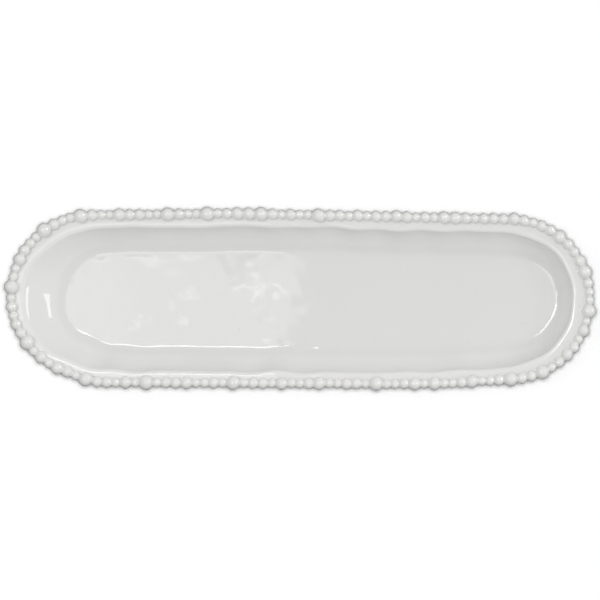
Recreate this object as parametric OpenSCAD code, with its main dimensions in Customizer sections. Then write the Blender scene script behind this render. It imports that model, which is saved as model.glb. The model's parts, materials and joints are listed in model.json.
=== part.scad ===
// Asparagus plate: a long white-glazed dish with round ends and a row of clay balls along its rim.
// Lengths in millimetres. +Z is up, +X runs along the dish, and the dish stands on z = 0.

/* [Whole plate] */
// length over the balls at the two round ends
plate_l = 400; // [340:1:440]
// width over the balls on the two long sides
plate_w = 124.7; // [110:1:138]
// how far the far long side bulges out, as the hand left it
far_bow = 3.5; // [1.5:0.1:5]
// how far the near long side bulges out
near_bow = 3.7; // [1.5:0.1:5]
// how far the left end leans outward at its far corner
left_lean = 2.3; // [1:0.1:3]
// how far the left end is drawn in at its near corner
left_draw = 11.5; // [4:0.5:16]

/* [Dish] */
// width of the ledge from the middle line of the balls to the edge of the hollow
ledge_in = 6.1; // [5:0.1:8]
// how much wider the ledge is at the two ends
ledge_end = 3.4; // [1:0.1:5]
// width of the ledge from the middle line of the balls to its outer edge
ledge_out = 1.8; // [1.6:0.1:2.4]
// how far the sloping wall runs inward from the ledge to the floor
wall_run = 17.6; // [13:0.2:21]
// depth of the hollow from the ledge to the floor
well_depth = 15.5; // [12:0.5:18]
// how deep the wall curves in behind a straight line from the ledge to the floor
wall_sag = 2.8; // [1.4:0.1:3.4]
// thickness of the clay sheet
sheet_t = 4.5; // [3.5:0.1:5]
// how far the floor sits towards the right end, under the rim
floor_shift = 5.2; // [0:0.2:6]
// angle by which the dish lies askew under its row of balls
dish_skew = 0.4; // [0:0.1:0.8]
// radius where the ledge turns down into the wall
brim_round = 2.2; // [1.4:0.1:3]
// radius on the two outer edges of the ledge
lip_round = 1.4; // [0.8:0.1:1.7]

/* [Foot] */
// height of the foot ring under the floor
foot_h = 3; // [2:0.1:4]
// width of the coil that makes the foot ring
foot_w = 6; // [4:0.5:8]
// how far the foot ring stands in from the turn of the base
foot_inset = 5.3; // [3:0.1:8]
// radius on the two lower edges of the foot ring
foot_round = 1.1; // [0.5:0.1:1.6]

/* [Balls] */
// diameter of the smallest balls
small_d = 6; // [5.2:0.1:6.4]
// diameter of the middling balls
medium_d = 7.1; // [6.5:0.1:7.6]
// diameter of the large balls
large_d = 8.2; // [7.8:0.1:8.8]
// diameter of the largest balls
largest_d = 9.5; // [9:0.1:10.2]
// share of its radius by which a ball is pressed flat where it sits on the ledge
press_share = 0.15; // [0.1:0.01:0.25]
// hairline left between neighbouring balls
ball_part = 0.05; // [0.02:0.01:0.1]
// direction of the first ball, seen from the middle of the right end
first_ball_a = 5; // [0:1:12]

/* [Hidden] */
$fa = 2;
$fs = 0.4;
ball_fn = 60;
glaze = [0.88, 0.88, 0.86];
bare_clay = [0.80, 0.78, 0.74];
over = sheet_t / 2;
floor_z = foot_h + sheet_t;
ledge_z = floor_z + well_depth;

// The balls in the order they stand, anticlockwise from the middle of the right end:
// s small, m middling, l large, x largest, one line for each stretch of the rim.
right_far = "smxlmmxmmsml";
far_side = "mmmsmllsmsmlmmsmsmmxssmsmxllmsxssmxssmmlss";
left_end = "mxssmxssmlssxsmsmmxslslmsxm";
near_side = "mslsxsmmlssmsxsmmslssmlssmmsxssmlslssmlssm";
right_near = "xmmxsmlmslsxs";
order = str(right_far, far_side, left_end, near_side, right_near);
ball_n = len(order);

// The middle line of the balls is a loop of one radius round five points, in this order:
// the right end, the bulge of the far side, the far and near corners of the left end,
// and the bulge of the near side.
rim_r = (plate_w - far_bow - near_bow - largest_d) / 2;
spread = (plate_l - largest_d) / 2 - rim_r;
far_bow_share = -0.31;
near_bow_share = 0.63;
right_drop_share = -0.1;
left_drop_share = -0.7;
bow_share = 0.5;
brim_share = 0.04;
points = [
    [spread, right_drop_share * near_bow],
    [far_bow_share * spread, far_bow],
    [-spread, left_lean],
    [left_draw - spread, left_drop_share * near_bow],
    [near_bow_share * spread, -near_bow],
];
sides = len(points);
function step(i) = points[(i + 1) % sides] - points[i];
function heading(i) = let (d = step(i)) atan2(d.y, d.x);
function turn_in(i) = heading((i + sides - 1) % sides) - 90;
function turn(i) = let (t = heading(i) - 90 - turn_in(i)) t < 0 ? t + 360 : t;
function side_l(i) = norm(step(i));
function bend_l(i) = turn(i) * PI / 180 * rim_r;
function loop_sum(i) = i < 0 ? 0 : bend_l(i) + side_l(i) + loop_sum(i - 1);
rim_l = loop_sum(sides - 1);
function out_dir(a) = [cos(a), sin(a)];

// The place on the loop at a distance along it from the start of the right end.
function rim_point(s, i = 0) =
    let (a = turn_in(i), b = a + turn(i), left = s - bend_l(i))
    left < 0 ? points[i] + rim_r * out_dir(b + left / bend_l(i) * (b - a))
    : left < side_l(i) ? points[i] + rim_r * out_dir(b) + left * out_dir(b + 90)
    : rim_point(left - side_l(i), (i + 1) % sides);

// Sizes of the balls, and where the row puts each of them: the same squeeze all round,
// so that the last ball meets the first.
function wrap(i) = (i + ball_n) % ball_n;
function ball_d(i) =
    let (c = order[wrap(i)]) c == "s" ? small_d : c == "m" ? medium_d : c == "l" ? large_d : largest_d;
function reach(i) = (ball_d(i) + ball_d(i + 1)) / 2;
reach_sum = [for (i = 0, a = 0; i <= ball_n; a = a + reach(i), i = i + 1) a];
squeeze = rim_l / reach_sum[ball_n];
first_s = (first_ball_a - turn_in(0)) * PI / 180 * rim_r;
function ball_s(i) = (first_s + squeeze * reach_sum[wrap(i)]) % rim_l;
ball_xy = [for (i = [0:ball_n - 1]) rim_point(ball_s(i))];
function ball_at(i) =
    let (p = ball_xy[wrap(i)]) [p.x, p.y, ledge_z + ball_d(i) / 2 * (1 - press_share)];

// Fills the corner p between the directions a and b, leaving the round of radius r.
module spandrel(p, a, b, r) {
    half = acos(a * b) / 2;
    way = (a + b) / norm(a + b);
    middle = p + way * r / sin(half);
    difference() {
        polygon([p - way * over, p + a * r / tan(half), middle, p + b * r / tan(half)]);
        translate(middle)
            circle(r);
    }
}

// Sweeps a section round a long loop with two half-round ends; x = 0 of the section lies
// on the middle line of the loop.
module long_loop(half_l) {
    for (end_a = [0, 180])
        rotate([0, 0, end_a]) {
            translate([half_l, 0, 0])
                rotate([0, 0, -90])
                    rotate_extrude(angle = 180)
                        children();
            translate([-half_l, 0, 0])
                rotate([90, 0, 90])
                    linear_extrude(2 * half_l)
                        children();
        }
}

// The wall curves about wall_c, from the edge of the floor up to the edge of the ledge, and
// its back about the same point.
dish_r = (plate_w - largest_d - bow_share * (far_bow + near_bow)) / 2;
dish_spread = (plate_l - largest_d) / 2 - dish_r;
well_spread = dish_spread - ledge_end;
ledge_edge = [dish_r - ledge_in, ledge_z];
chord = [wall_run, well_depth];
wall_r = (chord * chord / 4 + wall_sag * wall_sag) / (2 * wall_sag);
wall_c = ledge_edge - chord / 2 + [-well_depth, wall_run] / norm(chord) * (wall_r - wall_sag);
back_r = wall_r + sheet_t;
turn_x = wall_c.x + sqrt(pow(back_r, 2) - pow(wall_c.y - foot_h, 2));

// The brim is a circle that touches the wall and comes up a little above the ledge.
brim_rise = brim_share * brim_round;
brim_z = ledge_z - brim_round + brim_rise;
brim_x = wall_c.x + sqrt(pow(wall_r + brim_round, 2) - pow(wall_c.y - brim_z, 2));
brim_c = [brim_x, brim_z];
brim_foot = wall_c + (brim_c - wall_c) * wall_r / (wall_r + brim_round);

// Section of the hollow, up through the ledge.
module well_section() {
    intersection() {
        translate([0, floor_z])
            square([brim_x, well_depth + over]);
        union() {
            translate(wall_c)
                circle(wall_r);
            square([wall_c.x, ledge_z + 2 * over]);
            difference() {
                polygon([
                    wall_c, brim_foot, brim_c, [brim_x, ledge_z + 2 * over],
                    [wall_c.x, ledge_z + 2 * over],
                ]);
                translate(brim_c)
                    circle(brim_round);
            }
        }
    }
}

// Section of the back of the wall and the floor, up into the ledge.
module back_section() {
    intersection() {
        translate([0, foot_h])
            square([back_r + wall_c.x, ledge_z - over - foot_h]);
        union() {
            translate(wall_c)
                circle(back_r);
            square([wall_c.x, ledge_z]);
        }
    }
}

// Section of the ledge, before the hollow is cut through it.
module ledge_section() {
    lip_x = dish_r + ledge_out;
    difference() {
        translate([0, ledge_z - sheet_t])
            square([lip_x, sheet_t]);
        spandrel([lip_x, ledge_z], [-1, 0], [0, -1], lip_round);
        spandrel([lip_x, ledge_z - sheet_t], [-1, 0], [0, 1], lip_round);
    }
}

module dish() {
    color(glaze)
        multmatrix([
            [1, 0, -floor_shift / well_depth, floor_shift / well_depth * ledge_z],
            [0, 1, 0, 0],
            [0, 0, 1, 0],
        ])
            rotate([0, 0, -dish_skew])
                difference() {
                    union() {
                        long_loop(well_spread)
                            back_section();
                        long_loop(dish_spread)
                            ledge_section();
                    }
                    long_loop(well_spread)
                        well_section();
                }
}

// The coil luted under the floor, flat where it stands.
foot_x = turn_x - foot_inset;

module foot_section() {
    difference() {
        translate([foot_x - foot_w, 0])
            square([foot_w, foot_h]);
        spandrel([foot_x, 0], [-1, 0], [0, 1], foot_round);
        spandrel([foot_x - foot_w, 0], [1, 0], [0, 1], foot_round);
    }
}

module foot_ring() {
    color(bare_clay)
        translate([floor_shift / well_depth * (ledge_z - foot_h), 0, 0])
            rotate([0, 0, -dish_skew])
                long_loop(well_spread)
                    foot_section();
}

// One ball, flat where it sits on the ledge and where it is pushed against each neighbour.
module ball(i) {
    p = ball_at(i);
    r = ball_d(i) / 2;
    difference() {
        translate(p)
            sphere(r, $fn = ball_fn);
        translate([p.x - r, p.y - r, ledge_z - r])
            cube([2 * r, 2 * r, r]);
        for (side = [-1, 1]) {
            q = ball_at(i + side) - p;
            far_off = norm(q);
            flat = (far_off + (r * r - pow(ball_d(i + side) / 2, 2)) / far_off) / 2;
            translate(p)
                rotate([0, -asin(q.z / far_off), atan2(q.y, q.x)])
                    translate([flat - ball_part / 2, -r, -r])
                        cube(2 * r);
        }
    }
}

module balls(size) {
    for (i = [0:ball_n - 1])
        if (order[i] == size)
            ball(i);
}

module small_balls() {
    color(glaze)
        balls("s");
}

module medium_balls() {
    color(glaze)
        balls("m");
}

module large_balls() {
    color(glaze)
        balls("l");
}

module largest_balls() {
    color(glaze)
        balls("x");
}

dish();
foot_ring();
small_balls();
medium_balls();
large_balls();
largest_balls();
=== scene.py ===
import json
import math
import bmesh
import bpy
import numpy as np
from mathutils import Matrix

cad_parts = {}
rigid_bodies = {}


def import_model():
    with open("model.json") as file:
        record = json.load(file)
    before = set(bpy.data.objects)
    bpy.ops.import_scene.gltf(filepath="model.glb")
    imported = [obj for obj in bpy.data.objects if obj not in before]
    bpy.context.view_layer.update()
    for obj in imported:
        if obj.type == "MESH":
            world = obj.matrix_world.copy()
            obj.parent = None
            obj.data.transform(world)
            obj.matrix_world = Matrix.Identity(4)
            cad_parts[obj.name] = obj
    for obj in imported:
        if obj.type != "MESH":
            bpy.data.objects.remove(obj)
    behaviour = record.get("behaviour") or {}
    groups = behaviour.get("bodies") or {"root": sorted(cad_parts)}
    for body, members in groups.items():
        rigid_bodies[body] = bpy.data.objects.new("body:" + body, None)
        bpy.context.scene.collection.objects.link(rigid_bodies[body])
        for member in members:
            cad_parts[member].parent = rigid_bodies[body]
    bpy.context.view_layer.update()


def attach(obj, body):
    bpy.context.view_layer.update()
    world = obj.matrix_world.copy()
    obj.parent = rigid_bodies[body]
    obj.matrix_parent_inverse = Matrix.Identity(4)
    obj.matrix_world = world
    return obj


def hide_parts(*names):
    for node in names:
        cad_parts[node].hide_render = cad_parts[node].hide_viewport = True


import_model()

# The dish: one sheet of white stoneware, 4.5 mm thick, with a flat floor, a sloping wall and a
# narrow ledge. The sheet is pressed over a mould by hand, so its long sides bulge and its edges
# wave. It is glazed all over, and the glaze never lies quite flat.

MM = 0.001  # the pieces are worked out in mm, and their meshes are in metres
ledge_z, floor_z, base_z, sheet_t = 23, 7.5, 3.0, 4.5
ledge_in, ledge_out, wall_run = 8.0, 1.8, 16.3
wall_curve = math.radians(27)
floor_round, ledge_round, neck_round, base_round, lip_round = 9, 3.0, 3, 6, 1.4
floor_shift, well_shift, well_short, well_near = 5.3, 0.8, 2.4, 0.5
rim_r, spread = 54, 141.25
loop_points = np.array([
    [spread, -0.37], [-0.31 * spread, 3.5], [-spread, 2.3], [11.5 - spread, -2.59],
    [0.63 * spread, -3.7],
])
loop_step = np.roll(loop_points, -1, axis=0) - loop_points
loop_heading = np.arctan2(loop_step[:, 1], loop_step[:, 0])
bend_in = np.roll(loop_heading, 1) - math.pi / 2
bend = (loop_heading - math.pi / 2 - bend_in) % (2 * math.pi)
bend_l = bend * rim_r
side_l = np.hypot(*loop_step.T)
stretch_start = np.concatenate([[0], np.cumsum(bend_l + side_l)])
rim_l = stretch_start[-1]


def rim(s):
    """The rim's middle line at the distance s along it. The line is a loop of one radius round
    five points: on a bend the point stays and the direction turns, on a side the point moves and
    the direction stays. Gives the point inside the bend and the direction outward from it."""
    s = np.asarray(s) % rim_l
    i = np.clip(np.searchsorted(stretch_start, s, side="right") - 1, 0, 4)
    left = s - stretch_start[i]
    angle = bend_in[i] + bend[i] * np.minimum(left / bend_l[i], 1)
    along = np.maximum(left - bend_l[i], 0)[:, None]
    ahead = np.stack([-np.sin(angle), np.cos(angle)], 1)
    outward = np.stack([np.cos(angle), np.sin(angle)], 1)
    return loop_points[i] + along * ahead, outward


def stations(spacing):
    """Distances along the rim for the columns of a grid. On the sides they stand at the same set
    of x on the far and the near side, so that the two halves of the floor meet point to point."""
    xs = np.linspace(-spread, spread, int(2 * spread / spacing))
    xs = np.unique(np.concatenate([xs, loop_points[:, 0]]))
    parts = []
    for i in range(5):
        a, b = loop_points[i, 0], loop_points[(i + 1) % 5, 0]
        inside = xs[(xs > min(a, b) + 1e-6) & (xs < max(a, b) - 1e-6)]
        turning = np.linspace(0, bend_l[i], max(3, int(bend_l[i] / spacing)))
        going = bend_l[i] + np.sort((inside - a) / (b - a)) * side_l[i]
        parts += [stretch_start[i] + turning, stretch_start[i] + going]
    return np.concatenate(parts)


def rounded(corners, spacing):
    """A profile through corners given as x, z, radius: straight runs joined by arcs that touch
    both, each with its middle on the line that halves the corner, at the radius over the sine of
    the half angle. Points stand about the spacing apart, and on the arcs twice as close."""
    corners = np.array(corners, float)
    runs = [corners[:1, :2]]
    for before, here, after in zip(corners, corners[1:], corners[2:]):
        a, b = before[:2] - here[:2], after[:2] - here[:2]
        a, b = a / np.hypot(*a), b / np.hypot(*b)
        half = math.acos(a @ b) / 2
        middle = here[:2] + (a + b) / np.hypot(*(a + b)) * here[2] / math.sin(half)
        ends = here[:2] + np.stack([a, b]) * here[2] / math.tan(half) - middle
        t0, t1 = np.arctan2(ends[:, 1], ends[:, 0])
        t1 = t0 + (t1 - t0 + math.pi) % (2 * math.pi) - math.pi
        t = np.linspace(t0, t1, max(5, int(abs(t1 - t0) * here[2] / spacing * 2) + 2))
        runs.append(middle + here[2] * np.stack([np.cos(t), np.sin(t)], 1))
    runs.append(corners[-1:, :2])
    path = runs[:1]
    for a, b in zip(runs, runs[1:]):
        n = int(np.hypot(*(b[0] - a[-1])) / spacing)
        t = np.arange(1, n + 1)[:, None] / (n + 1)
        path += [a[-1] + (b[0] - a[-1]) * t, b]
    return np.vstack(path)


def ripples(x, y, size, seed):
    """An uneven surface over x and y: the sum of forty plane waves about the given size long,
    whose directions and starts are drawn once, over the root of half their number. About 1 high
    and 1 deep."""
    draw, waves = np.random.default_rng(seed), 40
    way, start = draw.uniform(0, 2 * math.pi, (2, waves))
    steep = 2 * math.pi / size * draw.uniform(0.6, 1.6, waves)
    height = sum(np.sin(k * (x * math.cos(a) + y * math.sin(a)) + b)
                 for a, b, k in zip(way, start, steep))
    return height / math.sqrt(waves / 2)


def round_waves(s, fewest, most, seed):
    """Unevenness along the rim: the sum of waves that go a whole number of times round it, from
    the fewest to just under the most, over the root of half their number."""
    draw = np.random.default_rng(seed)
    cycles = np.arange(fewest, most)
    start = draw.uniform(0, 2 * math.pi, len(cycles))
    height = sum(np.sin(2 * math.pi * c * s / rim_l + b) for c, b in zip(cycles, start))
    return height / math.sqrt(len(cycles) / 2)


def piece_from_grid(name, points, around, material, depth_and_light_values=None):
    """A closed skin from grids of points in mm, shaped grids x rows x columns x 3: neighbours
    in a grid make a four-sided face, the last column meets the first where the grid goes
    around, and points that coincide, such as those of a pole, become one."""
    grids, rows, cols = points.shape[:3]
    number = np.arange(grids * rows * cols).reshape(grids, rows, cols)
    if around:
        number = np.concatenate([number, number[:, :, :1]], 2)
    a, b = number[:, :-1, :-1], number[:, 1:, :-1]
    c, d = number[:, 1:, 1:], number[:, :-1, 1:]
    faces = np.stack([a, b, c, d], -1).reshape(-1, 4)
    mesh = bpy.data.meshes.new(name)
    mesh.from_pydata((points.reshape(-1, 3) * MM).tolist(), [], faces.tolist())
    # An optional field of glaze depth goes on the points; the glaze also reads it as painted shade and
    # painted light.
    if depth_and_light_values is not None:
        field = mesh.attributes.new("glaze_depth_and_painted_light", "FLOAT", "POINT")
        field.data.foreach_set("value", depth_and_light_values.reshape(-1).astype(np.float32))
    form = bmesh.new()
    form.from_mesh(mesh)
    bmesh.ops.remove_doubles(form, verts=form.verts, dist=0.002 * MM)
    bmesh.ops.recalc_face_normals(form, faces=form.faces)
    form.to_mesh(mesh)
    form.free()
    mesh.shade_smooth()
    mesh.set_sharp_from_angle(angle=math.radians(50))
    piece = bpy.data.objects.new(name, mesh)
    bpy.context.scene.collection.objects.link(piece)
    mesh.materials.append(material)
    return piece


class Shade:
    """One output of a shader node. + - and * between two outputs, or an output and a number,
    add a Math node each."""

    def __init__(self, tree, socket=None):
        self.tree, self.socket = tree, socket

    def node(self, kind, inputs, out=0, **settings):
        """Adds a node of a kind: its settings first, then a value or a link for each input."""
        made = self.tree.nodes.new("ShaderNode" + kind)
        for key, value in settings.items():
            setattr(made, key, value)
        for key, value in inputs.items():
            if isinstance(value, Shade):
                self.tree.links.new(value.socket, made.inputs[key])
            else:
                made.inputs[key].default_value = value
        return Shade(self.tree, made.outputs[out])

    def math(self, operation, *values):
        """One Math node that carries out the operation on the values."""
        return self.node("Math", dict(enumerate(values)), operation=operation)

    def __add__(self, other):
        return self.math("ADD", self, other)

    def __sub__(self, other):
        return self.math("SUBTRACT", self, other)

    def __rsub__(self, other):
        return self.math("SUBTRACT", other, self)

    def __mul__(self, other):
        return self.math("MULTIPLY", self, other)

    __radd__, __rmul__ = __add__, __mul__

    def between(self, low, high):
        """0 below low, 1 above high, and a smooth rise from one to the other."""
        return self.node("MapRange", {"Value": self, "From Min": low, "From Max": high},
                         interpolation_type="SMOOTHSTEP")

    def mix(self, a, b):
        """Colour a where this is 0 and colour b where it is 1."""
        return self.node("Mix", {0: self, 6: a, 7: b}, out=2, data_type="RGBA")


def new_material(name, **constants):
    """A material with one main shader whose constant values are set on its own sockets. Gives
    it with a starting point for expressions and a function that links the shader's inputs."""
    material = bpy.data.materials.new(name)
    material.use_nodes = True
    tree = material.node_tree
    shader = next(n for n in tree.nodes if n.type == "BSDF_PRINCIPLED")
    for key, value in constants.items():
        shader.inputs[key].default_value = value

    def feed(key, shade):
        """Links an expression to one input of the shader."""
        tree.links.new(shade.socket, shader.inputs[key])
    return material, Shade(tree), feed


def white_glaze(name, dullest):
    """Glossy off-white glaze. Its tone drifts over the piece in clouds; where the glaze pools it is a
    little cooler, and darker as painted shade, and where it runs thin over an edge or a top the warmer
    clay comes through, and it is lighter as painted light. It has a few pinholes, and its skin is faintly
    uneven like orange peel."""
    # The pooled colour is darker as painted shade and the thin colour lighter as painted light; their
    # coolness and warmth are the glaze's own.
    dim_white, full_white = (0.790, 0.790, 0.772, 1), (0.815, 0.815, 0.800, 1)
    pooled_and_shaded_white, thin_and_lit_white = (0.752, 0.758, 0.746, 1), (0.826, 0.822, 0.804, 1)
    pinhole_brown, glossiest = (0.30, 0.29, 0.27, 1), 0.02
    holes_apart, chosen_from = 105.0, 0.56
    material, shade, feed = new_material(name, IOR=1.6)
    place = shade.node("TexCoord", {}, out="Object")
    # The glaze depth on the points, which also carries painted shade and painted light.
    glaze_depth_and_light = shade.node("Attribute", {}, out="Fac", attribute_name="glaze_depth_and_painted_light")
    cloud = shade.node("TexNoise", {"Vector": place, "Scale": 22.0, "Detail": 3.0})
    fleck = shade.node("TexNoise", {"Vector": place, "Scale": 420.0, "Detail": 2.0})
    body = cloud.between(0.3, 0.7).mix(dim_white, full_white)
    # Painted shade where the glaze lies deep and painted light where it lies thin: darker and cooler above
    # 0, lighter and warmer below.
    pooled_and_shaded = glaze_depth_and_light.between(0.1, 1.0).mix(body, pooled_and_shaded_white)
    thin_and_lit = (0 - glaze_depth_and_light).between(0.2, 1.0).mix(pooled_and_shaded, thin_and_lit_white)
    cell = shade.node("TexVoronoi", {"Vector": place, "Scale": holes_apart})
    lot = shade.node("TexVoronoi", {"Vector": place, "Scale": holes_apart}, out="Color")
    lot = shade.node("SeparateColor", {"Color": lot})
    hole = (1 - cell.between(0.02, 0.042)) * lot.between(chosen_from, 0.60)
    speck = hole * 0.6 + fleck.between(0.72, 0.80) * 0.10
    feed("Base Color", speck.mix(thin_and_lit, pinhole_brown))
    peel = shade.node("TexNoise", {"Vector": place, "Scale": 260.0, "Detail": 1.0})
    feed("Roughness", cloud.between(0.2, 0.8) * (dullest - glossiest) + glossiest + hole * 0.3)
    drawn_out = shade.node("Mapping", {"Vector": place, "Scale": (0.12, 1.0, 1.0)})
    streak = shade.node("TexNoise", {"Vector": drawn_out, "Scale": 900.0, "Detail": 1.0})
    height = peel * 0.12 + streak * 0.02 - hole * 3.0
    feed("Normal", shade.node("Bump", {"Strength": 0.5, "Distance": 0.02 * MM, "Height": height}))
    return material


# The section of the sheet. d is measured outward from the rim's middle line, where the balls sit.
well_foot, well_brim = np.array([-ledge_in - wall_run, floor_z]), np.array([-ledge_in, ledge_z])
wall_r = math.hypot(*(well_brim - well_foot)) / 2 / math.sin(wall_curve)
wall_turn = wall_curve - math.atan2(ledge_z - floor_z, wall_run)
wall_middle = well_foot + wall_r * np.array([math.sin(wall_turn), math.cos(wall_turn)])


def wall_arc(radius, low, high, n):
    """Points of the wall's arc at the given radius, between two heights, as corners that are
    hardly rounded: at an end, the angle is the arcsine of its height above the arc's middle over
    the radius."""
    t = np.arcsin((np.array([low, high]) - wall_middle[1]) / radius)
    t = np.linspace(t[0], t[1], n)
    across, up = wall_middle[0] + radius * np.cos(t), wall_middle[1] + radius * np.sin(t)
    return np.column_stack([across, up, np.full(n, 0.01)])


neck_z = ledge_z - sheet_t
flat_from = well_foot[0] - 7
face, back = wall_arc(wall_r, floor_z, ledge_z, 15), wall_arc(wall_r + sheet_t, base_z, neck_z, 10)
face[0, 2], face[-1, 2], back[0, 2], back[-1, 2] = floor_round, ledge_round, base_round, neck_round
above_seam = [(ledge_out, ledge_z, lip_round), (ledge_out, ledge_z - 2.2, 0)]
below_seam = [(ledge_out, ledge_z - 2.3, 0), (ledge_out, neck_z, lip_round)]
shown_step, hidden_step, floor_rows = 0.9, 2.4, 15
section = np.vstack([
    rounded([(flat_from, floor_z, 0), *face, *above_seam], shown_step),
    rounded([*below_seam, *back[::-1], (flat_from, base_z, 0)], hidden_step),
])
inward = np.linspace(0, 1, floor_rows + 1)[:-1]
top, under = (np.tile([flat_from, level], (floor_rows, 1)) for level in (floor_z, base_z))
profile = np.vstack([top, section, under])
reach = np.concatenate([inward, np.ones(len(section)), inward[::-1]])
d, z = profile[:, :1], profile[:, 1:]
upper = np.arange(len(profile))[:, None] < floor_rows + np.argmax(section[:, 0])

# The loop that the section follows. The floor's own loop is softer: it takes the mean of the rim's
# line over 40 mm either way, weighted by a squared cosine.
s = stations(1.25)
core, outward = rim(s)
soften = 40
nearby = np.linspace(-soften, soften, 21)
weight = np.cos(nearby / soften * math.pi / 2) ** 2 / 10
soft_core, soft_outward = (sum(w * rim(s + a)[i] for a, w in zip(nearby, weight)) for i in (0, 1))

# The wall of the left end falls more gently. How far it has fallen, at each distance in from its
# brim, is the running sum of its slope: a parabola with a least value, begun softly.
left_brim, left_longer = 6, 4.2
steepest_at, steep_half, least_slope, brim_run = 11, 15.5, 0.12, 3
leftward = np.clip(-soft_outward[:, 0], 0, 1) ** 2
left_run = np.linspace(0, ledge_in + wall_run - left_brim + left_longer + floor_shift, 80)
slope = np.maximum(1 - ((left_run - steepest_at) / steep_half) ** 2, least_slope)
fallen = np.cumsum(slope * np.clip(left_run / brim_run, 0, 1))
fallen /= fallen[-1]
left_d = left_run - (left_longer + floor_shift) * fallen
soft_z = ledge_z - (ledge_z - floor_z) * np.interp(-left_brim - d, left_d, fallen)
z = z + leftward * upper * (soft_z - z)
hollow = np.clip((ledge_z - z) / (ledge_z - floor_z), 0, 1)

# The hand's work, from 1 mm inside the balls' line inward: the edge waves, the ledge is fuller at
# the near left corner, and the hollow is tighter round the left end. Each swells and fades as a
# bell curve along the rim.
true_to, bell = 1, 30
inner = np.clip((-true_to - d) / 4, 0, 1) * upper
hand = 0.35 * round_waves(s, 9, 34, 3) + 0.25 * round_waves(s, 3, 9, 5)
near_left, left_end = stretch_start[3] - 24, stretch_start[2] + 0.45 * bend_l[2]
fuller = 3.4 * np.exp(-((s - near_left) / bell) ** 2) * (1 - 0.7 * hollow)
tighter = 3.2 * np.exp(-((s - left_end) / bell) ** 2) * hollow
out = d + (hand * (1 - 0.4 * hollow) + fuller - tighter) * inner

# The hollow's loop is also a little shorter than the rim's, and lies nearer to the right and to
# the near side. The floor's rows run from the edge of its flat part in to its middle line.
shorter = np.clip((-true_to - d) / (ledge_in - true_to), 0, 1)
shorter = ((shorter + leftward * (hollow - shorter)) * upper)[..., None]
shrink, shift = 1 - shorter * [well_short / spread, 0], shorter * [well_shift, 0]
rim_core = core + shorter * (soft_core - core)
rim_out = outward + shorter * (soft_outward - outward)
rim_place = rim_core * shrink + shift + rim_out * (rim_r + out)[..., None]
spine = (core * shrink + shift) * [1, 0]
place = spine + (rim_place - spine) * reach[:, None, None]
x = place[..., 0] + floor_shift / (ledge_z - floor_z) * (ledge_z - z)
y = place[..., 1] - well_near * shorter[..., 0]

# The glaze: a few hundredths of a millimetre of unevenness on the level parts, more on the wall,
# and short waves along the corner where the wall leaves the floor, which are calmer at the right.
sag = 0.03 * ripples(x, y, 60, 11) + 0.009 * ripples(x, y, 26, 12) + 0.005 * ripples(x, y, 13, 15)
swell = 0.16 * ripples(x, y, 42, 13) + 0.05 * ripples(x, y, 18, 14)
wall = 4 * hollow * (1 - hollow) * upper
corner = np.exp(-((d - well_foot[0]) / 3.5) ** 2) * np.interp(x, [-6, 6], [1, 0.5])
corner_wave = (0.024 - 0.0004 * y) * ripples(x, y, 20, 16) * corner
height = z + (sag * (1 - wall) * 0.4 + corner_wave) * upper + swell * wall
# How deep the glaze lies across the section, with painted shade and painted light in it: the floor, and
# most of all the corner where the wall leaves it, are painted darker; the ledge, and most of all its brim
# and its outer lip, lighter.
glaze_depth_and_light = np.interp(d[:, 0], [-40, -28, -22, -17, -9, -7, -5, -2, 1, 2],
                  [0.8, 0.8, 1.0, 0.2, -0.2, -1.0, -0.8, -0.5, 0.0, -0.8])[:, None] * upper
points = np.stack([x, y, height], -1)[None]
glaze = white_glaze("white glaze", 0.035)
dish = piece_from_grid("dish_glazed", points, True, glaze, np.broadcast_to(glaze_depth_and_light, x.shape))
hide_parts("dish")
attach(dish, "root")

# The foot ring: a low coil of the same clay, luted under the floor. Its lower edges are rounded
# with a wet finger, and the glaze is wiped off it so that it doesn't stick in the kiln.

foot_out, foot_w, foot_round, luted = 27.35, 6, 1.1, 0.2


def bare_clay(name):
    """Dry fired clay: warm pale grey, rough, clouded, and speckled with fine darker grog."""
    dark_clay, light_clay, grog_brown = (0.57, 0.54, 0.49, 1), (0.66, 0.63, 0.58, 1), (0.40, 0.36, 0.31, 1)
    material, shade, feed = new_material(name, IOR=1.5)
    place = shade.node("TexCoord", {}, out="Object")
    cloud = shade.node("TexNoise", {"Vector": place, "Scale": 60.0, "Detail": 4.0})
    grog = shade.node("TexNoise", {"Vector": place, "Scale": 1400.0, "Detail": 2.0})
    tone = cloud.between(0.3, 0.7).mix(dark_clay, light_clay)
    feed("Base Color", (grog.between(0.62, 0.72) * 0.5).mix(tone, grog_brown))
    feed("Roughness", grog * 0.2 + 0.7)
    feed("Normal", shade.node("Bump", {"Strength": 0.6, "Distance": 0.15 * MM, "Height": grog}))
    return material


foot_mid, foot_in, coil_top = foot_out - foot_w / 2, foot_out - foot_w, base_z + luted
coil = rounded([
    (foot_mid, coil_top, 0), (foot_out, coil_top, 0.2), (foot_out, 0, foot_round),
    (foot_in, 0, foot_round), (foot_in, coil_top, 0.2), (foot_mid, coil_top, 0),
], 0.7)[::-1]
across = coil[:, :1] - foot_mid
pinch = 1 + 0.05 * round_waves(s, 20, 60, 21)
wander = 0.25 * round_waves(s, 5, 25, 22)
place = core + outward * (foot_mid + across * pinch + wander)[..., None]
x = place[..., 0] + floor_shift / (ledge_z - floor_z) * (ledge_z - base_z)
points = np.stack([x, place[..., 1], np.broadcast_to(coil[:, 1:], x.shape)], -1)[None]
foot = piece_from_grid("foot_coil", points, True, bare_clay("bare clay"))
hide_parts("foot_ring")
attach(foot, "root")

# The balls: 136 beads of clay, rolled between the fingers and set side by side on the ledge in
# slip. The glaze runs into the creases between them and round their feet, and joins them up.

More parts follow.
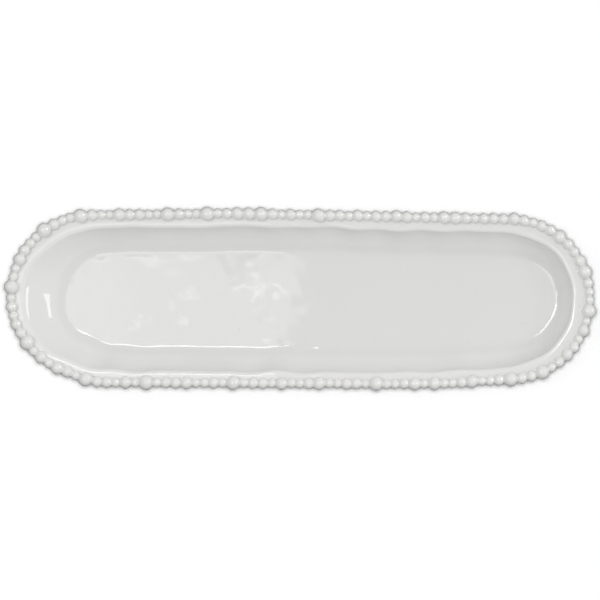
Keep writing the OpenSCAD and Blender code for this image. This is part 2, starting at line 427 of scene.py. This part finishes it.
order = ("smxlmmxmmsml"
         "mmmsmllsmsmlmmsmsmmxssmsmxllmsxssmxssmmlss"
         "mxssmxssmlssxsmsmmxslslmsxm"
         "mslsxsmmlssmsxsmmslssmlssmmsxssmlslssmlssm"
         "xmmxsmlmslsxs")
sizes = {"s": 6.0, "m": 7.1, "l": 8.2, "x": 9.5}
press_share, fuller_by, first_a = 0.22, 1.02, math.radians(5)
size = np.array([sizes[c] for c in order])
step = (size + np.roll(size, -1)) / 2
walked = np.concatenate([[0], np.cumsum(step)[:-1]])
ball_s = (first_a - bend_in[0]) * rim_r + walked * rim_l / step.sum()
core, outward = rim(ball_s)
draw = np.random.default_rng(7)
r = fuller_by * size / 2 * draw.uniform(0.97, 1.03, len(size))
middle = core + outward * (rim_r + draw.normal(0, 0.12, len(size)))[:, None]
centre = np.column_stack([middle, ledge_z + r * (1 - press_share)])


def bead_points(centre, r):
    """Every ball as a grid of directions from its centre, its poles towards its neighbours. The skin lies
    where the ball, its two neighbours and the ledge run into each other in smooth fillets, which is found
    by halving; it ends flat half way to each neighbour and just under the face of the ledge. Gives the
    points, and how thin the glaze lies on them, which also paints the tops of the balls lighter as painted
    light."""
    ball_fillet, ledge_fillet, sunk, overlap = 1.1, 0.5, 0.35, 0.02
    before, after = np.roll(centre, 1, axis=0), np.roll(centre, -1, axis=0)
    along = after - before
    along[:, 2] = 0
    along /= np.linalg.norm(along, axis=1)[:, None]
    side = np.stack([along[:, 1], -along[:, 0], 0 * along[:, 0]], 1)
    turn = np.radians([0, 22, 44, 65, 83, 98, 112, 124, 134, 143, 152, 166, 194, 208, 217, 226,
                       236, 248, 262, 277, 295, 316, 338])[:, None]
    ring = np.cos(turn) * np.array([0, 0, 1.0]) + np.sin(turn) * side[:, None, None]
    draw = np.random.default_rng(8)
    lean, squash = draw.normal(0, 1, (2, len(r), 3))
    lean, squash = [v / np.linalg.norm(v, axis=-1, keepdims=True) for v in (lean, squash)]
    longer = 0.09 * np.clip((4.6 - r) / 1.4, 0, 1)

    def above(p, k):
        """How far points are outside the ball k places on from their own. Its radius is greater
        the way that it leans, both ways along its long axis, and for a small ball across the
        rim."""
        offset = p - np.roll(centre, -k, axis=0)[:, None, None]
        far = np.linalg.norm(offset, axis=-1)
        a, b, c = (np.roll(v, -k, axis=0)[:, None, None] for v in (lean, squash, side))
        a, b, c = ((offset * v).sum(-1) / far for v in (a, b, c))
        rounder = 1 + 0.02 * a + 0.05 * (b ** 2 - 0.33)
        rounder = rounder + np.roll(longer, -k)[:, None, None] * c ** 2
        return far - np.roll(r, -k)[:, None, None] * rounder

    def limit(way):
        """The way to the flats between neighbours, or to just under the face of the ledge."""
        drop = centre[:, 2] - ledge_z + sunk
        most = np.minimum(2.2 * r[:, None, None], drop[:, None, None] / np.maximum(-way[..., 2], 1e-3))
        for other, other_r in ((before, np.roll(r, 1)), (after, np.roll(r, -1))):
            gap = other - centre
            far = np.linalg.norm(gap, axis=1)
            flat = (far + (r ** 2 - other_r ** 2) / far) / 2 - overlap
            toward = (way * (gap / far[:, None])[:, None, None]).sum(-1)
            most = np.minimum(most, flat[:, None, None] / np.maximum(toward, 1e-3))
        return most

    def joined(a, b, fillet):
        """The smaller of two distances, less up to a quarter of the fillet where they are near
        each other, by the square of how near."""
        near = np.maximum(fillet - np.abs(a - b), 0) / fillet
        return np.minimum(a, b) - near ** 2 * fillet / 4

    def skin(way, t):
        """How far outside all of the clay the points at the distance t along each way are."""
        p = centre[:, None, None] + way * t[..., None]
        balls = joined(joined(above(p, 0), above(p, -1), ball_fillet), above(p, 1), ball_fillet)
        return joined(balls, p[..., 2] - ledge_z, ledge_fillet)

    def ways(tilt):
        """Directions at the tilt from the pole, once round it."""
        return np.cos(tilt)[..., None] * along[:, None, None] + np.sin(tilt)[..., None] * ring

    caps = []
    for pole in (0, math.pi):
        low = np.full((len(r), 1, len(turn)), pole)
        high = np.full(low.shape, math.pi / 2)
        for _ in range(14):
            half = (low + high) / 2
            inside = skin(ways(half), limit(ways(half))) < 0
            low, high = np.where(inside, half, low), np.where(inside, high, half)
        caps.append(np.clip(abs(low - pole), 0.15, 0.95))
    on_cap, between_caps = np.array([0, 0.6])[:, None], np.linspace(0, 1, 15)[:, None]
    tilt = np.concatenate([
        caps[0] * on_cap,
        caps[0] + (math.pi - caps[1] - caps[0]) * between_caps,
        math.pi - caps[1] * on_cap[::-1],
    ], 1)
    way = ways(tilt)
    most = limit(way)
    reached = np.linspace(0.4, 1, 24)[:, None, None, None] * most
    outside = np.stack([skin(way, t) > 0 for t in reached])
    full = ~outside.any(0)
    first = np.maximum(outside.argmax(0), 1)[None]
    low, high = (np.take_along_axis(reached, first - k, 0)[0] for k in (1, 0))
    for _ in range(16):
        half = (low + high) / 2
        inside = skin(way, half) < 0
        low, high = np.where(inside, half, low), np.where(inside, high, half)
    t = np.where(full, most, low)
    # Thin glaze and painted light on the tops of the balls: the more a part faces up, the lighter it is
    # painted.
    return centre[:, None, None] + way * t[..., None], -0.8 * np.clip(way[..., 2], 0, 1)


points, glaze_depth_and_light = bead_points(centre, r)
bead_glaze = white_glaze("white glaze on the balls", 0.06)
for letter, word in (("s", "small"), ("m", "medium"), ("l", "large"), ("x", "largest")):
    mine = np.array([c == letter for c in order])
    beads = piece_from_grid(word + "_balls_glazed", points[mine], True, bead_glaze, glaze_depth_and_light[mine])
    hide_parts(word + "_balls")
    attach(beads, "root")

# The floor that the plate stands on: a wide sheet of plain matt paper. The glaze doesn't mirror
# it and takes no light from it.

bpy.ops.mesh.primitive_plane_add(size=12)
floor = bpy.context.object
floor.name = "paper_floor"
floor.visible_diffuse = floor.visible_glossy = False
paper, shade, feed = new_material("pale paper", Roughness=0.9)
place = shade.node("TexCoord", {}, out="Object")
fibre = shade.node("TexNoise", {"Vector": place, "Scale": 300.0, "Detail": 3.0})
feed("Base Color", fibre.mix((0.147, 0.147, 0.147, 1), (0.153, 0.153, 0.153, 1)))
floor.data.materials.append(paper)

# Camera: nearly straight above the middle of the plate, 3.6 m off through a long lens, with
# 405 mm of the plate's plane across the picture. Places and sizes are in metres.

view_w, view_far, view_up = 0.4047, 3.6, math.radians(89)
look_at = np.array([-0.00015, -0.0010, 0.027])
camera = bpy.data.cameras.new("camera")
camera.sensor_width = 36
camera.lens = camera.sensor_width * view_far / view_w
camera.clip_end = 30
eye = bpy.data.objects.new("camera", camera)
eye.location = look_at + view_far * np.array([0, -math.cos(view_up), math.sin(view_up)])
eye.rotation_euler = (math.pi / 2 - view_up, 0, 0)
bpy.context.scene.collection.objects.link(eye)
bpy.context.scene.camera = eye

# Light: a soft grey room, and panes overhead on the left, whose edges and small bright ones show
# on the glazed floor. Low lights far off at the right brighten the ledge, the right wall and the
# balls, and a light of its own burns the paper out to white. Places and sizes are in metres.

bpy.context.scene.view_settings.view_transform = "Standard"
world = bpy.data.worlds.new("room")
bpy.context.scene.world = world
world.use_nodes = True
room = next(n for n in world.node_tree.nodes if n.type == "BACKGROUND")
shade = Shade(world.node_tree)
upward = shade.node("SeparateXYZ", {"Vector": shade.node("TexCoord", {}, out="Generated")}, out="Z")
tone = upward.between(-0.2, 0.1).mix((0.12, 0.12, 0.12, 1), (0.51, 0.51, 0.51, 1))
world.node_tree.links.new(tone.socket, room.inputs["Color"])


def box_light(name, at, size, glow, aim=(0, 0, 0)):
    """A flat light at a place in metres, turned towards the aim. The glow is how bright its
    face looks, 1 being white paper in full light."""
    light = bpy.data.lights.new(name, "AREA")
    light.shape = "RECTANGLE"
    light.size, light.size_y = size
    light.energy = glow * math.pi * size[0] * size[1]
    lamp = bpy.data.objects.new(name, light)
    bpy.context.scene.collection.objects.link(lamp)
    lamp.location = at
    away = np.array(at) - np.array(aim)
    flat = math.hypot(away[0], away[1])
    turn = math.atan2(away[1], away[0]) + math.pi / 2 if flat > 1e-6 else 0.0
    lamp.rotation_euler = (math.atan2(flat, away[2]), 0, turn)
    return lamp


def pane(left, near, right, far, glow, pane_z):
    """A flat light overhead, given by the part of the level floor of the dish that mirrors it to
    the camera, in mm: its left, near, right and far edges, each carried on at the slope at
    which the camera's line of sight leaves the floor."""
    eye_x, eye_y, eye_z = eye.location
    lift = 1 + (pane_z - floor_z * MM) / (eye_z - floor_z * MM)
    x0, x1 = (eye_x + (v * MM - eye_x) * lift for v in (left, right))
    y0, y1 = (eye_y + (v * MM - eye_y) * lift for v in (near, far))
    at = ((x0 + x1) / 2, (y0 + y1) / 2, pane_z)
    return box_light("pane", at, (x1 - x0, y1 - y0), glow, at[:2] + (0,))


def light_only(lamp, collection_name, pieces):
    """Lets a lamp reach the given pieces alone."""
    lit = bpy.data.collections.new(collection_name)
    for piece in pieces:
        lit.objects.link(piece)
    lamp.light_linking.receiver_collection = lit


box_light("far side", (0, 2.7, 1.9), (1.5, 1.5), 0.65).visible_glossy = False

# First the wide panes, whose edges show on the floor. Then bright ones past the floor's edges,
# which show as lines where the wall turns up. Then the small bright ones, which show as patches.
wide_z, front_z = 3.7, 3.69
for left, near, right, far, glow in (
    (-800, -300, -137, 27.5, 1.5), (-137, -300, -115, 27.5, 1.25), (-115, -300, -12, 17, 1.0),
    (-115, 17, -49, 27.5, 1.0), (-36, 17, -12, 27.5, 1.0), (-12, -8, 0, 27.5, 1.1),
):
    pane(left, near, right, far, glow, wide_z)
for left, near, right, far, glow in (
    (-800, 68, -12, 380, 7.0), (-800, -500, -12, -300, 3.0), (-1050, -180, -800, 260, 9.0),
):
    pane(left, near, right, far, glow, front_z)
for left, near, right, far in (
    (-71, 4, -66, 8), (-114, -24, -104, -17), (-88, -14, -80, -10.5), (-145, 28, -60, 44),
    (-46, 9, -35, 17), (-35, 6, -26, 10), (-28, -5, -21, 3),
):
    pane(left, near, right, far, 2.3, front_z)

# The low lights. The strip shows in the ledge and the right wall. The fill and the glint reach
# only the dish and the balls, and of the pieces only the foot shades them.
box_light("low strip", (2.5, 0.28, 1.5), (1.2, 0.32), 3.5)
low_fill = box_light("low fill", (2.6, 0.29, 1.56), (1.25, 0.36), 14.5)
low_fill.visible_glossy = False
light_only(low_fill, "low fill lights", [dish, foot])
glint = box_light("glint", (2.5, 0.9, 1.6), (0.7, 0.7), 14.0)
light_only(glint, "glint lights", [b for b in bpy.data.objects if "_balls_" in b.name])
no_shadow = bpy.data.collections.new("foot only")
no_shadow.objects.link(foot)
low_fill.light_linking.blocker_collection = glint.light_linking.blocker_collection = no_shadow
paper_light = box_light("paper light", (0, 0, 4.1), (0.7, 0.7), 660)
paper_light.visible_glossy = False
light_only(paper_light, "paper only", [floor])
